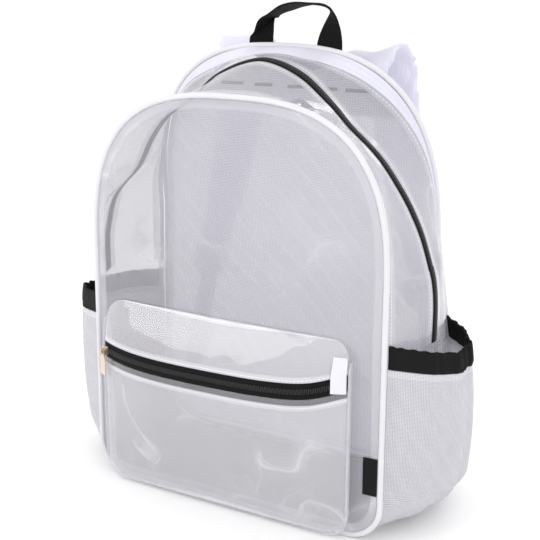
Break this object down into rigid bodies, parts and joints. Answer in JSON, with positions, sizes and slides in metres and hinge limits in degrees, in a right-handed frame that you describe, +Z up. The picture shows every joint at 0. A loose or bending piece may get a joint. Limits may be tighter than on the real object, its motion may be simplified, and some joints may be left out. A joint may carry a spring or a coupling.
{
  "type": "clear backpack",
  "caption": "Clear plastic backpack with an arched zipped top, a zipped front pocket, mesh back and side pockets, padded straps and a webbing handle.",
  "frame": {"origin": "middle of the whole bag in plan, on the floor that its base stands on", "axes": "+Z up, the front with its pocket faces -Y, +X to the right of someone who looks at the front"},
  "size_m": [0.424, 0.2028, 0.4578],
  "materials": {
    "clear_plastic": "clear, glossy, slightly creased",
    "white_cord": "smooth woven cover, matt",
    "white_mesh": "fine open mesh, matt",
    "white_cloth": "woven, matt",
    "white_webbing": "ribbed webbing, matt",
    "black_webbing": "ribbed webbing, matt",
    "black_elastic": "gathered binding, matt",
    "black_zip": "woven tape with a nylon coil",
    "black_tag": "satin woven label",
    "white_plastic": "moulded, satin",
    "nickel": "warm nickel plate, polished"
  },
  "bodies": {
    "bag": {"front_panel": "clear_plastic", "front_piping": "white_cord", "gusset_front": "clear_plastic", "main_zip": "black_zip", "main_slider": "nickel", "gusset_rear": "clear_plastic", "rear_edge_strip": "white_cloth", "rear_piping": "white_cord", "base_panel": "clear_plastic", "back_panel": "white_mesh", "back_yoke": "white_cloth", "haul_handle": "black_webbing", "side_panel_left": "clear_plastic", "side_pocket_left": "white_mesh", "pocket_binding_left": "black_elastic", "shoulder_strap_left": "white_cloth", "strap_buckle_left": "white_plastic", "strap_webbing_left": "white_webbing", "side_panel_right": "clear_plastic", "side_pocket_right": "white_mesh", "pocket_binding_right": "black_elastic", "shoulder_strap_right": "white_cloth", "strap_buckle_right": "white_plastic", "strap_webbing_right": "white_webbing", "pocket_gusset": "clear_plastic", "pocket_front": "clear_plastic", "pocket_piping": "clear_plastic", "zip_welt": "clear_plastic", "pocket_zip": "black_zip", "pocket_top_band": "clear_plastic", "zip_end_tab": "white_cloth", "side_tag": "black_tag", "pocket_slider": "nickel"},
    "puller": {"pocket_puller": "nickel"}
  },
  "joints": [
    {"name": "puller_swing", "type": "hinge", "parent": "bag", "child": "puller", "pos_m": [-0.12487, -0.08765, 0.13494], "axis": [-0.9128, 0.4085, 0], "range_deg": [0, 150]}
  ]
}
